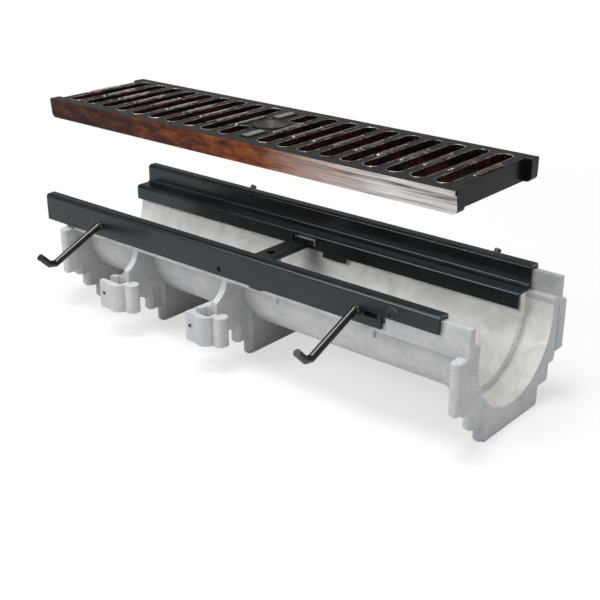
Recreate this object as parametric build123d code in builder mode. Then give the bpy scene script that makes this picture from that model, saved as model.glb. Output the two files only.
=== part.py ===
from build123d import *
import os

os.makedirs("parts", exist_ok=True)

# Channel drain unit: a moulded trough with two steel edge rails, a crossbar, four anchor
# rods and one slotted cast grating. Sizes are in millimetres. X runs along the channel
# with the socket end at +X, Y runs across it, Z is up and Z = 0 is under the feet.

# Sizes that drive the rest.
channel_height = 120.0
grating_length = 500.0
grating_width = 130.0
grating_thickness = 20.0
grating_lift = 100.0
flange_width = 13.5
trough_wall = 4.5
socket_depth = 28.0
sheet = 3.0

# Fits.
seat_clearance = 1.5
wall_clearance = 0.2
skirt_clearance = 0.5
lip_clearance = 3.0
spigot_clearance = 3.0

# How far cutters run past the faces they cut, and how near a picked edge lies to its face.
cut_over = 1.0
cut_lap = 0.01
near = 0.1

# Where the parts stand along X. The rails reach over the next unit's collar on the left,
# so the whole unit runs from the spigot's end to the socket's face.
unit_length = grating_length + socket_depth
x_socket_face = unit_length / 2
x_spigot_end = -unit_length / 2
x_rail_right = x_socket_face - socket_depth
x_rail_left = x_rail_right - grating_length
x_rail_middle = (x_rail_left + x_rail_right) / 2
x_shoulder = x_spigot_end + socket_depth

# Edge rail: skirt, top flange, web, seat and lip, folded from one sheet.
rail_top = channel_height
seat_top = rail_top - grating_thickness
web_face = grating_width / 2 + seat_clearance
skirt_face = web_face + flange_width
seat_width = 19.0
lip_face = web_face - seat_width
lip_depth = 16.0
skirt_depth = 28.0
fold_radius = 3.5
short_skirt_depth = 16.0
short_skirt_length = 57.0

# Places and sizes of what is punched or pressed in the rails, from their right end.
coupling_back = 67.5
coupling_drop = 17.6
coupling_length = 14.0
coupling_height = 4.6
coupling_room = 6.0
coupling_round = 1.0
dent_back = 45.5
dent_drop = 9.5
dent_radius = 12.0
dent_depth = 1.5
fixing_back = 244.5
fixing_drop = 21.5
fixing_radius = 2.4
skirt_tab_back = 198.5
skirt_tab_length = 15.0
skirt_tab_drop = 1.8
lip_tab_back = 209.0
lip_tab_length = 28.0
lip_tab_drop = 5.6

# Body levels.
wall_gap = 2.0
wall_top = rail_top - sheet - wall_gap
wall_inner = web_face + sheet + wall_clearance
wall_outer = skirt_face - sheet - skirt_clearance
ledge_top = seat_top - sheet
ledge_thickness = 4.5
ledge_under = ledge_top - ledge_thickness
drip_height = 5.5
drip_edge = ledge_under - drip_height
drip_width = 4.5
trough_straight = 15.0
trough_centre = ledge_top - trough_straight
trough_radius = lip_face + sheet + lip_clearance
trough_outer = trough_radius + trough_wall
socket_radius = trough_outer + spigot_clearance
collar_outer = socket_radius + trough_wall
collar_lap = 4.0
x_collar = x_rail_right - collar_lap
flare_length = 10.0
groove_drop = 12.0
groove_bottom = trough_centre - groove_drop
groove_radius = 20.0
groove_depth = 1.4
nub_length = 7.0
nub_height = 10.0
nub_stand = 1.7
nub_drop = 6.5
nub_backs = (194.0, 82.0)

# Supporting plates across the channel, stepped in towards the foot.
fin_thickness = 7.0
bead_radius = 5.5
bead_ease = 2.5
bead_fade = 7.0
step_inset = 0.5
step_half = wall_outer - step_inset
tooth_half = step_half - 10.0
foot_half = tooth_half - 17.0
post_reach = 10.0
post_half = skirt_face + post_reach
tooth_bottom = 18.0
step_bottom = 34.0
post_bottom = 40.0
post_drop = 30.5
post_top = rail_top - post_drop
post_ease = 1.2
bead_short = 0.5
tooth_lap = 2.0
plate_steps = ((foot_half, 0.0), (tooth_half, tooth_bottom), (step_half, step_bottom))
end_beads = [(half, bottom, ledge_under - bead_short) for half, bottom in plate_steps]
inner_beads = [
    (foot_half, 0.0, trough_centre),
    (tooth_half, tooth_bottom, step_bottom + tooth_lap),
]
fin_pitch = 124.0
fin_back = 241.5
x_fin_middle = x_rail_right - fin_back
x_fin_left = x_fin_middle - fin_pitch
end_thickness = 2 * bead_radius
x_end_right = x_socket_face - end_thickness / 2
x_end_left = x_shoulder + end_thickness / 2

# Side lugs: C shaped sockets for a levelling rod, clamped by a small screw.
lug_top = 57.0
lug_bottom = 28.0
lug_wall = 6.0
lug_stand = 0.5
lug_back = post_half + lug_stand
lug_slit = 8.0
lug_front = lug_back + lug_slit
lug_reach = 25.5
lug_hole_x = -6.5
lug_hole_length = 14.0
lug_hole_width = lug_slit + 1.5
lug_hole_round = 3.0
lug_hole_shift = 1.0
lug_boss_x = 8.5
lug_boss_radius = 7.5
wing_depth = 12.0
wing_root = step_half - wing_depth
wing_reach = 12.0
wing_gap = 2.5
wing_top = ledge_under - wing_gap
arm_rise = 10.0
arm_top = lug_top + arm_rise
shoulder_rise = 11.5
wing_shoulder = lug_top + shoulder_rise
wing_lift = 4.5
wing_bottom = step_bottom + wing_lift
wing_sink = 1.0
hollow_reach = 11.0
hollow_rise = 4.0
sweep_out = 3.5
sweep_rise = 9.0
screw_x = -19.5
screw_z = 44.0
screw_hole = 4.0

# Crossbar, its nut and the anchor rods.
bar_width = 22.0
bar_thickness = 5.0
bar_drop = 9.0
bar_top = seat_top - bar_drop
bar_end = lip_face + sheet + 1.4
bolt_core = 8.5
bolt_clearance = 11.0
nut_width = 17.0
nut_height = 8.0
window_length = bar_width + 8.0
window_height = bar_thickness + 4.5
window_play = 2.0
bar_ease = 0.6
rod_radius = 3.5
anchor_offset = 166.0
anchor_hole_z = rail_top - 17.0
anchor_out = 62.0
anchor_down = 26.5
anchor_tip = 13.5
anchor_bend = 4.5
rod_trim = 20.0

# Grating casting.
slot_width = 14.2
slot_length = 106.0
slots_each_side = 9
end_bar = 9.8
top_web = 8.0
slot_step = 4.5
rib_draft = 3.5
ear_length = 7.0
slot_pitch = (grating_length / 2 - ear_length - end_bar - slot_width / 2) / (slots_each_side + 0.5)
ear_width = 13.0
ear_round = 4.5
brow_height = 4.0
brow_depth = 1.0
side_draft = 1.6
pad_height = 0.8
pad_width = 5.0
pad_length = 38.0
pad_shift = 2.0
corner_round = 2.0
short_length = 33.0
short_round = 5.1
pocket_cut = 5.0
pocket_round = 3.0
plate_length = 27.0
plate_width = 11.0
plate_round = 1.5
plate_shift = 1.0
boss_rim = 3.0
dish_floor = 2.0
dish_radius = 15.5
dish_depth = 5.5
grating_under = seat_top + grating_lift
grating_top = grating_under + grating_thickness

# Lug on the rear edge of a supporting plate standing at X = 0: a wing of the plate flares
# out and down into a C shaped socket, open at one end, for an upright levelling rod.
with BuildPart() as lug:
    # Plan of the wing and the socket's back wall.
    with BuildSketch(Plane.XY.offset(lug_bottom)):
        with BuildLine():
            Polyline(
                (-fin_thickness / 2, wing_root),
                (fin_thickness / 2, wing_root),
                (fin_thickness / 2, lug_back),
                (-lug_reach, lug_back),
                (-lug_reach, lug_back - lug_wall),
                (-wing_reach, lug_back - lug_wall),
                (-fin_thickness / 2, step_half - wing_sink),
                close=True,
            )
        make_face()
    extrude(amount=wing_top - lug_bottom)
    # Seen from the side, its top edge falls in a hollow curve towards the open end.
    with BuildSketch(Plane.XZ):
        with BuildLine():
            Polyline(
                (-fin_thickness / 2, arm_top),
                (-fin_thickness / 2, wing_top),
                (fin_thickness, wing_top),
                (fin_thickness, lug_bottom),
                (-lug_reach, lug_bottom),
                (-lug_reach, lug_top),
            )
            ThreePointArc(
                (-lug_reach, lug_top),
                (-hollow_reach, lug_top + hollow_rise),
                (-fin_thickness / 2, arm_top),
            )
        make_face()
    extrude(amount=2 * post_half, both=True, mode=Mode.INTERSECT)
    # Seen from the end, its edge sweeps out from the plate to the socket's back wall, and
    # its lower edge rises a little towards the socket.
    with BuildSketch(Plane.YZ):
        with BuildLine():
            Polyline(
                (lug_back, wing_shoulder),
                (lug_back, lug_bottom),
                (lug_back - lug_wall, lug_bottom),
                (lug_back - lug_wall, wing_bottom),
                (tooth_half, step_bottom),
                (0, step_bottom),
                (0, wing_top),
                (step_half, wing_top),
            )
            ThreePointArc(
                (step_half, wing_top),
                (step_half + sweep_out, wing_shoulder + sweep_rise),
                (lug_back, wing_shoulder),
            )
        make_face()
    extrude(amount=lug_reach + fin_thickness, both=True, mode=Mode.INTERSECT)
    # Socket walls: a round boss about the rod hole, a second one beside it and a prong.
    with BuildSketch(Plane.XY.offset(lug_bottom)):
        with Locations((lug_hole_x, lug_back + lug_slit / 2 + lug_hole_shift)):
            Circle(lug_slit / 2 + lug_wall + lug_hole_shift)
        with Locations((lug_boss_x, lug_back + lug_hole_shift)):
            Circle(lug_boss_radius)
        with Locations(((lug_boss_x - lug_reach) / 2, lug_back - lug_wall / 2)):
            Rectangle(lug_reach + lug_boss_x, lug_wall)
        with Locations(((lug_hole_x - lug_reach) / 2, lug_front + lug_wall / 2)):
            Rectangle(lug_reach + lug_hole_x, lug_wall)
    extrude(amount=lug_top - lug_bottom)
    # Rod hole, its open slit and the hole for the clamp screw.
    with BuildSketch(Plane.XY.offset(lug_bottom)):
        with Locations((lug_hole_x, lug_back + lug_slit / 2)):
            RectangleRounded(lug_hole_length, lug_hole_width, lug_hole_round)
        with Locations(((lug_hole_x - lug_reach) / 2 - cut_over, lug_back + lug_slit / 2)):
            Rectangle(lug_reach + lug_hole_x + 2 * cut_over, lug_slit)
    extrude(amount=wing_top - lug_bottom, mode=Mode.SUBTRACT)
    with Locations((screw_x, lug_front + lug_wall / 2, screw_z)):
        Box(screw_hole, lug_wall + 2 * cut_over, screw_hole, mode=Mode.SUBTRACT)

# Post on the rear edge of an end plate standing at X = 0, eased at both its ends.
with BuildPart() as post:
    y_post = post_half - bead_radius
    with BuildSketch(Plane.XY.offset(post_bottom)):
        with Locations((0, y_post)):
            Circle(bead_radius)
        with Locations((0, y_post - bead_radius)):
            Rectangle(end_thickness, 2 * bead_radius)
    extrude(amount=post_top - post_bottom)
    chamfer(post.faces().sort_by(Axis.Z)[-1].edges().filter_by(GeomType.CIRCLE), length=post_ease)
    chamfer(post.faces().sort_by(Axis.Z)[0].edges().filter_by(GeomType.CIRCLE), length=bead_ease)

# Body: the smooth round-bottomed trough, its rebated upper walls, the stepped plates
# that carry it, the lugs and the socket at one end.
with BuildPart() as channel_body:
    # Trough, solid at first, from the spigot to the collar.
    with BuildSketch(Plane.YZ.offset(x_spigot_end)):
        with Locations((0, trough_centre)):
            Circle(trough_outer)
        with Locations((0, trough_centre + trough_outer)):
            Rectangle(2 * trough_outer, 2 * trough_outer, mode=Mode.SUBTRACT)
        with Locations((0, (trough_centre + ledge_top) / 2)):
            Rectangle(2 * trough_outer, ledge_top - trough_centre)
    extrude(amount=unit_length - socket_depth)

    # Collar round the socket, flared out from the trough.
    with BuildSketch(Plane.YZ.offset(x_collar - flare_length)):
        with Locations((0, trough_centre)):
            Circle(trough_outer)
        with Locations((0, trough_centre + trough_outer)):
            Rectangle(2 * trough_outer, 2 * trough_outer, mode=Mode.SUBTRACT)
    with BuildSketch(Plane.YZ.offset(x_collar)):
        with Locations((0, trough_centre)):
            Circle(collar_outer)
        with Locations((0, trough_centre + collar_outer)):
            Rectangle(2 * collar_outer, 2 * collar_outer, mode=Mode.SUBTRACT)
    loft()
    with BuildSketch(Plane.YZ.offset(x_collar)):
        with Locations((0, trough_centre)):
            Circle(collar_outer)
        with Locations((0, trough_centre + collar_outer)):
            Rectangle(2 * collar_outer, 2 * collar_outer, mode=Mode.SUBTRACT)
        with Locations((0, (trough_centre + ledge_top) / 2)):
            Rectangle(2 * collar_outer, ledge_top - trough_centre)
    extrude(amount=x_socket_face - x_collar)

    # Upper box with a drip edge along each side.
    with BuildSketch(Plane.YZ.offset(x_shoulder)):
        with Locations((0, (ledge_under + wall_top) / 2)):
            Rectangle(2 * wall_outer, wall_top - ledge_under)
        with Locations(
            (wall_outer - drip_width / 2, (drip_edge + wall_top) / 2),
            (-wall_outer + drip_width / 2, (drip_edge + wall_top) / 2),
        ):
            Rectangle(drip_width, wall_top - drip_edge)
    extrude(amount=x_socket_face - x_shoulder)

    # Supporting plates with their stepped outline and upright round beads, eased at the
    # bottom, that edge their steps. The end plates are as thick as the beads. On the thin
    # inner plates the foot's beads run up to the trough and the teeth's fade into the plate.
    for x_plate, thickness, beads in (
        (x_fin_left, fin_thickness, inner_beads),
        (x_fin_middle, fin_thickness, inner_beads),
        (x_end_left, end_thickness, end_beads),
        (x_end_right, end_thickness, end_beads),
    ):
        with BuildSketch(Plane.YZ.offset(x_plate - thickness / 2)):
            for half, bottom in plate_steps:
                with Locations((0, (bottom + ledge_under) / 2)):
                    Rectangle(2 * (half - bead_radius), ledge_under - bottom)
        extrude(amount=thickness)
        for half, bottom, bead_top in beads:
            y_bead = half - bead_radius
            with BuildSketch(Plane.XY.offset(bottom + bead_ease)):
                with Locations((x_plate, y_bead), (x_plate, -y_bead)):
                    Circle(bead_radius)
            extrude(amount=bead_top - bottom - bead_ease)
            with Locations(
                (x_plate, y_bead, bottom + bead_ease / 2),
                (x_plate, -y_bead, bottom + bead_ease / 2),
            ):
                Cone(bead_radius - bead_ease, bead_radius, bead_ease)
            if bead_top < trough_centre:
                with Locations(
                    (x_plate, y_bead, bead_top + bead_fade / 2),
                    (x_plate, -y_bead, bead_top + bead_fade / 2),
                ):
                    Cone(bead_radius, thickness / 2, bead_fade)

    # Outer posts on the end plates. The left ones stay under the rails.
    for x_plate in (x_end_left, x_end_right):
        with Locations((x_plate, 0, 0)):
            add(post.part)
            add(mirror(post.part, about=Plane.XZ, mode=Mode.PRIVATE))

    # Lugs on both sides of the two inner plates.
    for x_plate in (x_fin_left, x_fin_middle):
        with Locations((x_plate, 0, 0)):
            add(lug.part)
            add(mirror(lug.part, about=Plane.XZ, mode=Mode.PRIVATE))

    # Locating nubs on the trough's outside, under the rail clips and the anchors.
    for nub_back in nub_backs:
        with Locations(
            (x_rail_right - nub_back, trough_outer, trough_centre - nub_drop),
            (x_rail_right - nub_back, -trough_outer, trough_centre - nub_drop),
        ):
            Box(nub_length, 2 * nub_stand, nub_height)

    # Inside of the trough and the rebate for the rails.
    with BuildSketch(Plane.YZ.offset(x_spigot_end)):
        with Locations((0, trough_centre)):
            Circle(trough_radius)
        with Locations((0, (trough_centre + wall_top) / 2)):
            Rectangle(2 * trough_radius, wall_top - trough_centre)
        with Locations((0, (ledge_top + wall_top) / 2)):
            Rectangle(2 * wall_inner, wall_top - ledge_top)
    extrude(amount=unit_length, mode=Mode.SUBTRACT)

    # Socket for the next unit's spigot.
    with BuildSketch(Plane.YZ.offset(x_rail_right)):
        with Locations((0, trough_centre)):
            Circle(socket_radius)
        with Locations((0, (trough_centre + ledge_top) / 2)):
            Rectangle(2 * socket_radius, ledge_top - trough_centre)
    extrude(amount=socket_depth, mode=Mode.SUBTRACT)

    # Shallow upright grooves inside, under the ends of the crossbar.
    for side in (-1, 1):
        y_groove = side * (trough_radius + groove_depth - groove_radius)
        with BuildSketch(Plane.XY.offset(groove_bottom)):
            with Locations((x_rail_middle, y_groove)):
                Circle(groove_radius)
            with Locations((x_rail_middle, y_groove - side * groove_radius)):
                Rectangle(3 * groove_radius, 2 * groove_radius, mode=Mode.SUBTRACT)
        extrude(amount=ledge_top - groove_bottom, mode=Mode.SUBTRACT)

    # Windows in the upper walls, behind the coupling slots of the rails.
    with Locations(
        (x_rail_right - coupling_back, 0, rail_top - coupling_drop),
    ):
        Box(
            coupling_length + 2 * coupling_room,
            2 * (wall_outer + cut_over),
            coupling_height + coupling_room,
            mode=Mode.SUBTRACT,
        )

channel_body.part.label = "channel_body"

# Rear edge rail: one line, rounded at each fold, gives the sheet its section. The front
# rail is its mirror image.
with BuildPart() as rear_rail:
    with BuildSketch(Plane.YZ.offset(x_rail_left)):
        with BuildLine():
            FilletPolyline(
                (skirt_face, rail_top - skirt_depth),
                (skirt_face, rail_top),
                (web_face, rail_top),
                (web_face, seat_top),
                (lip_face, seat_top),
                (lip_face, seat_top - lip_depth),
                radius=fold_radius,
            )
            offset(amount=sheet, side=Side.LEFT)
        make_face()
    extrude(amount=grating_length)
    # Clip tabs: one under the skirt, one under the lip, bent round the body's ledge.
    with Locations(
        (
            x_rail_right - skirt_tab_back,
            skirt_face - sheet / 2,
            rail_top - skirt_depth - skirt_tab_drop / 2,
        )
    ):
        Box(skirt_tab_length, sheet, skirt_tab_drop)
    with Locations(
        (
            x_rail_right - lip_tab_back,
            lip_face + sheet / 2,
            seat_top - lip_depth - lip_tab_drop / 2,
        )
    ):
        Box(lip_tab_length, sheet, lip_tab_drop)
    # Shorter skirt at the socket end.
    with BuildSketch(Plane.XZ.offset(-skirt_face - sheet)):
        with Locations((x_rail_right, rail_top - skirt_depth)):
            Rectangle(2 * short_skirt_length, 2 * (skirt_depth - short_skirt_depth))
    extrude(amount=3 * sheet, mode=Mode.SUBTRACT)
    # Coupling slot and the dent beside it.
    with BuildSketch(Plane.XZ.offset(-skirt_face - sheet)):
        with Locations((x_rail_right - coupling_back, rail_top - coupling_drop)):
            RectangleRounded(coupling_length, coupling_height, coupling_round)
    extrude(amount=3 * sheet, mode=Mode.SUBTRACT)
    with Locations(
        (
            x_rail_right - dent_back,
            skirt_face + dent_radius - dent_depth,
            rail_top - dent_drop,
        )
    ):
        Sphere(dent_radius, mode=Mode.SUBTRACT)
    # Fixing hole in the skirt.
    with BuildSketch(Plane.XZ.offset(-skirt_face - sheet)):
        with Locations((x_rail_right - fixing_back, rail_top - fixing_drop)):
            Circle(fixing_radius)
    extrude(amount=3 * sheet, mode=Mode.SUBTRACT)
    # Window in the lip that the crossbar's end hooks into.
    with BuildSketch(Plane.XZ.offset(-lip_face - 2 * sheet)):
        with Locations(
            (
                x_rail_middle + (window_length - bar_width) / 2 - window_play,
                bar_top - bar_thickness + window_height / 2,
            )
        ):
            Rectangle(window_length, window_height)
    extrude(amount=3 * sheet, mode=Mode.SUBTRACT)
    # Holes for the anchor rods, cut along the rods' own lean.
    for x_anchor in (x_rail_middle - anchor_offset, x_rail_middle + anchor_offset):
        with BuildLine():
            rod_way = Line(
                (x_anchor, skirt_face - 2 * sheet, anchor_hole_z + anchor_down / anchor_out * 2 * sheet),
                (x_anchor, skirt_face + 2 * sheet, anchor_hole_z - anchor_down / anchor_out * 2 * sheet),
            )
        with BuildSketch(Plane(origin=rod_way @ 0, z_dir=rod_way % 0)):
            Circle(rod_radius)
        sweep(path=rod_way, mode=Mode.SUBTRACT)

rear_rail.part.label = "rear_rail"

with BuildPart() as front_rail:
    add(mirror(rear_rail.part, about=Plane.XZ))

front_rail.part.label = "front_rail"

# Crossbar between the two lips, with a tapped hole under the grating's boss.
with BuildPart() as crossbar:
    with Locations((x_rail_middle, 0, bar_top - bar_thickness / 2)):
        Box(bar_width, 2 * bar_end, bar_thickness)
    chamfer(crossbar.edges().filter_by(Axis.Y), length=bar_ease)
    with Locations((x_rail_middle, 0, bar_top - bar_thickness / 2)):
        Cylinder(bolt_core / 2, 2 * bar_thickness, mode=Mode.SUBTRACT)

crossbar.part.label = "crossbar"

# Weld nut under the crossbar for the grating's lock bolt.
with BuildPart() as lock_nut:
    with BuildSketch(Plane.XY.offset(bar_top - bar_thickness - nut_height)):
        with Locations((x_rail_middle, 0)):
            RegularPolygon(nut_width / 2, 6, major_radius=False)
    extrude(amount=nut_height)
    with Locations((x_rail_middle, 0, bar_top - bar_thickness - nut_height / 2)):
        Cylinder(bolt_core / 2, 2 * nut_height, mode=Mode.SUBTRACT)

lock_nut.part.label = "lock_nut"

# Anchor rod at the rear right: out and down from the skirt, then hooked up at the tip in
# two short bends.
x_anchor_right = x_rail_middle + anchor_offset
rod_slope = anchor_down / anchor_out
y_start = skirt_face - 3 * sheet
rod_start = Vector(x_anchor_right, y_start, anchor_hole_z + rod_slope * (skirt_face - y_start))
rod_bend = Vector(x_anchor_right, skirt_face + anchor_out, anchor_hole_z - anchor_down)
rod_tip = rod_bend + Vector(0, anchor_tip, anchor_tip)
with BuildPart() as anchor_rear_right:
    with BuildLine() as rod_line:
        Polyline(
            rod_start,
            rod_bend + (rod_start - rod_bend).normalized() * anchor_bend,
            rod_bend + (rod_tip - rod_bend).normalized() * anchor_bend,
            rod_tip,
        )
    with BuildSketch(Plane(origin=rod_line.line @ 0, z_dir=rod_line.line % 0)):
        Circle(rod_radius)
    sweep(path=rod_line.line, transition=Transition.RIGHT)
    # Cut off flush with the skirt's inner face, where it is welded.
    with Locations((x_anchor_right, skirt_face - sheet - rod_trim / 2, anchor_hole_z)):
        Box(rod_trim, rod_trim, 1.5 * rod_trim, mode=Mode.SUBTRACT)

anchor_rear_right.part.label = "anchor_rear_right"

with BuildPart() as anchor_rear_left:
    with Locations((-2 * anchor_offset, 0, 0)):
        add(anchor_rear_right.part)

anchor_rear_left.part.label = "anchor_rear_left"

with BuildPart() as anchor_front_right:
    add(mirror(anchor_rear_right.part, about=Plane.XZ))

anchor_front_right.part.label = "anchor_front_right"

with BuildPart() as anchor_front_left:
    add(mirror(anchor_rear_left.part, about=Plane.XZ))

anchor_front_left.part.label = "anchor_front_left"

# Slotted grating, one casting: drafted ribs, side beams with a drip line, corner ears,
# grip pads and a dished boss for the lock bolt. It stands above its seat by grating_lift.
with BuildPart() as grating:
    with BuildSketch(Plane.XY.offset(grating_under)):
        with Locations((x_rail_middle, 0)):
            Rectangle(grating_length - 2 * ear_length, grating_width)
        with Locations(
            (x_rail_middle, (grating_width - ear_width) / 2),
            (x_rail_middle, -(grating_width - ear_width) / 2),
        ):
            Rectangle(grating_length, ear_width)
    extrude(amount=grating_thickness)
    # The ears' undersides are rounded and their corners eased.
    ear_edges = grating.edges().filter_by(Axis.Y).filter_by(
        lambda e: abs(e.center().X - x_rail_middle) > grating_length / 2 - near
        and e.center().Z < grating_under + near
    )
    fillet(ear_edges, radius=ear_round)

    # Side faces: a plain brow along the top, then set back and drafted down to the seat.
    for side in (-1, 1):
        y_side = side * grating_width / 2
        with BuildSketch(Plane.YZ.offset(x_rail_middle - grating_length / 2 - cut_over)):
            with BuildLine():
                Polyline(
                    (y_side + side, grating_top - brow_height),
                    (y_side - side * brow_depth, grating_top - brow_height),
                    (y_side - side * (brow_depth + side_draft), grating_under),
                    (y_side + side, grating_under),
                    close=True,
                )
            make_face()
        extrude(amount=grating_length + 2 * cut_over, mode=Mode.SUBTRACT)
    corner_edges = grating.edges().filter_by(Axis.Z).filter_by(
        lambda e: abs(e.center().X - x_rail_middle) > grating_length / 2 - near
        and e.center().Z > grating_top - brow_height
    )
    fillet(corner_edges, radius=corner_round)

    # Full slots: rounded through the top web, square ended and drafted below it.
    slot_places = []
    for index in range(slots_each_side):
        slot_places.append(x_rail_middle + (index + 1.5) * slot_pitch)
        slot_places.append(x_rail_middle - (index + 1.5) * slot_pitch)
    with BuildSketch(Plane.XY.offset(grating_top)):
        for x_slot in slot_places:
            with Locations((x_slot, 0)):
                SlotOverall(slot_length, slot_width, rotation=90)
    extrude(amount=-top_web - cut_lap, mode=Mode.SUBTRACT)
    with BuildSketch(Plane.XY.offset(grating_top - top_web)):
        for x_slot in slot_places:
            with Locations((x_slot, 0)):
                Rectangle(slot_width, slot_length - 2 * slot_step)
    extrude(amount=-(grating_thickness - top_web), taper=-rib_draft, mode=Mode.SUBTRACT)

    # Two short slots beside the boss, turned half a turn from each other.
    y_short = (slot_length - short_length) / 2
    short_places = ((-1, -1), (1, 1))
    with BuildSketch(Plane.XY.offset(grating_top)):
        for along, across in short_places:
            with Locations((x_rail_middle + along * slot_pitch / 2, across * y_short)):
                RectangleRounded(slot_width, short_length, short_round)
    extrude(amount=-grating_thickness, mode=Mode.SUBTRACT)

    # Blind pockets under the plain plates, which lighten the middle.
    with BuildSketch(Plane.XY.offset(grating_under)):
        for along, across in short_places:
            with Locations((x_rail_middle + along * slot_pitch / 2, -across * y_short)):
                RectangleRounded(slot_width, short_length - pocket_cut, pocket_round)
    extrude(amount=grating_thickness - top_web, mode=Mode.SUBTRACT)

    # Raised plates beside the boss, bare.
    with BuildSketch(Plane.XY.offset(grating_top)):
        for along, across in short_places:
            y_plate = y_short - plate_shift
            with Locations((x_rail_middle + along * slot_pitch / 2, -across * y_plate)):
                RectangleRounded(plate_width, plate_length, plate_round)
    extrude(amount=pad_height)

    # Dished boss and its bolt hole.
    with BuildSketch(Plane.XY.offset(grating_top)):
        with Locations((x_rail_middle, 0)):
            Circle(dish_radius + boss_rim)
    extrude(amount=pad_height)
    with BuildSketch(Plane.XY.offset(grating_top + pad_height)):
        with Locations((x_rail_middle, 0)):
            Circle(dish_radius)
    with BuildSketch(Plane.XY.offset(grating_top + pad_height - dish_depth)):
        with Locations((x_rail_middle, 0)):
            Circle(bolt_clearance / 2 + dish_floor)
    loft(mode=Mode.SUBTRACT)
    with BuildSketch(Plane.XY.offset(grating_under)):
        with Locations((x_rail_middle, 0)):
            Circle(bolt_clearance / 2)
    extrude(amount=grating_thickness + pad_height, mode=Mode.SUBTRACT)

    # Raised grip pads along the ribs and the end bars, narrowed at both ends.
    pad_half = pad_length / 2
    pad_taper = pad_width / 3
    pad_places = [(index + 1) * slot_pitch for index in range(slots_each_side)]
    pad_places.append(grating_length / 2 - ear_length - end_bar / 2)
    with BuildSketch(Plane.XY.offset(grating_top)):
        for pad_place in pad_places:
            for x_pad in (x_rail_middle + pad_place, x_rail_middle - pad_place):
                with Locations((x_pad, pad_shift)):
                    Polygon(
                        (-pad_width / 2, -pad_half + pad_taper),
                        (-pad_width / 2 + pad_taper, -pad_half),
                        (pad_width / 2 - pad_taper, -pad_half),
                        (pad_width / 2, -pad_half + pad_taper),
                        (pad_width / 2, pad_half - pad_taper),
                        (pad_width / 2 - pad_taper, pad_half),
                        (-pad_width / 2 + pad_taper, pad_half),
                        (-pad_width / 2, pad_half - pad_taper),
                    )
    extrude(amount=pad_height)

grating.part.label = "grating"

export_step(channel_body.part, "parts/channel_body.step")
export_step(rear_rail.part, "parts/rear_rail.step")
export_step(front_rail.part, "parts/front_rail.step")
export_step(crossbar.part, "parts/crossbar.step")
export_step(lock_nut.part, "parts/lock_nut.step")
export_step(anchor_rear_right.part, "parts/anchor_rear_right.step")
export_step(anchor_rear_left.part, "parts/anchor_rear_left.step")
export_step(anchor_front_right.part, "parts/anchor_front_right.step")
export_step(anchor_front_left.part, "parts/anchor_front_left.step")
export_step(grating.part, "parts/grating.step")
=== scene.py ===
# %% [markdown]
# # A channel drain with its grating lifted off
#
# The CAD model brings the true shapes: a moulded trough, two folded steel rails, a bar with
# its nut, four anchor rods and a slotted iron grating. This script gives them their
# finishes, adds what is too fine for the CAD model (rims, knurl, studs and weld beads) and
# sets up the camera, the floor and the lights. Lengths in the frame are metres, so sizes in
# millimetres are multiplied by `MM`.

# %% Load the frame
import math

import bpy
import numpy as np
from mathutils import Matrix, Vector


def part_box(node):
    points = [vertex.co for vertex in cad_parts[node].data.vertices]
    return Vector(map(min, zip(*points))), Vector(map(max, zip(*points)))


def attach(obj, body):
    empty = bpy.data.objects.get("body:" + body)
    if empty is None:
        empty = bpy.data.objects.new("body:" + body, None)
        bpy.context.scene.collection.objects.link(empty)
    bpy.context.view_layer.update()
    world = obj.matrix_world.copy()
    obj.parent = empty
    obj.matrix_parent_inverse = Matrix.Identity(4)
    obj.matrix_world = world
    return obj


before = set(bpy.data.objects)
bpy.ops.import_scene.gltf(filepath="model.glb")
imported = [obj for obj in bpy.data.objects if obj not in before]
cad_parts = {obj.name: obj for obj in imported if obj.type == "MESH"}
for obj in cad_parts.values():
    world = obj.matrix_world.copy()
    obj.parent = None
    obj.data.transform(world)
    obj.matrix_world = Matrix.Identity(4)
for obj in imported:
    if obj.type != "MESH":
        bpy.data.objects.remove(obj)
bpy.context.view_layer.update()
MM = 0.001
print("nodes:", sorted(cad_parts))

# %% [markdown]
# ## Camera
#
# The photograph looks down on the socket end from the front right. Its edge lines meet in
# two vanishing points, and from those come the camera's place and the focal length. The
# photograph cuts off the left end, so the camera stays where it stood and turns a little
# to the left, which brings the whole object into the frame. The lens is given in pixels of
# the 600 pixel frame first, because that is how it was measured, then turned into
# millimetres for the camera's 36 mm sensor.

# %% Camera
FRAME_PX = 600
SENSOR_MM = 36.0
FOCAL_PX = 1082.0
CAMERA_AZIMUTH = math.radians(40.34)
CAMERA_ELEVATION = math.radians(23.11)
CAMERA_PLACE = Vector((0.6589, -0.7485, 0.4689))

camera_data = bpy.data.cameras.new("camera")
camera_data.sensor_width = SENSOR_MM
camera_data.lens = FOCAL_PX * SENSOR_MM / FRAME_PX
camera = bpy.data.objects.new("camera", camera_data)
camera.location = CAMERA_PLACE
camera.rotation_euler = (math.pi / 2 - CAMERA_ELEVATION, 0.0, CAMERA_AZIMUTH)
bpy.context.scene.collection.objects.link(camera)
bpy.context.scene.camera = camera
print("lens", round(camera_data.lens, 1), "mm")

# %% [markdown]
# ## Helpers for materials
#
# Colours are written as sRGB hex values, the way a paint chart gives them. Blender mixes
# light in linear values, so one function converts them. A second one adds a node with its
# settings and links in one call, which keeps each finish below short enough to read.

# %% Colour and node helpers
def linear(hex_colour):
    """sRGB hex to linear RGBA: below 0.04045 divide by 12.92, above it a 2.4 power."""
    values = [int(hex_colour[i:i + 2], 16) / 255 for i in (1, 3, 5)]
    return [v / 12.92 if v <= 0.04045 else ((v + 0.055) / 1.055) ** 2.4 for v in values] + [1.0]


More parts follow.
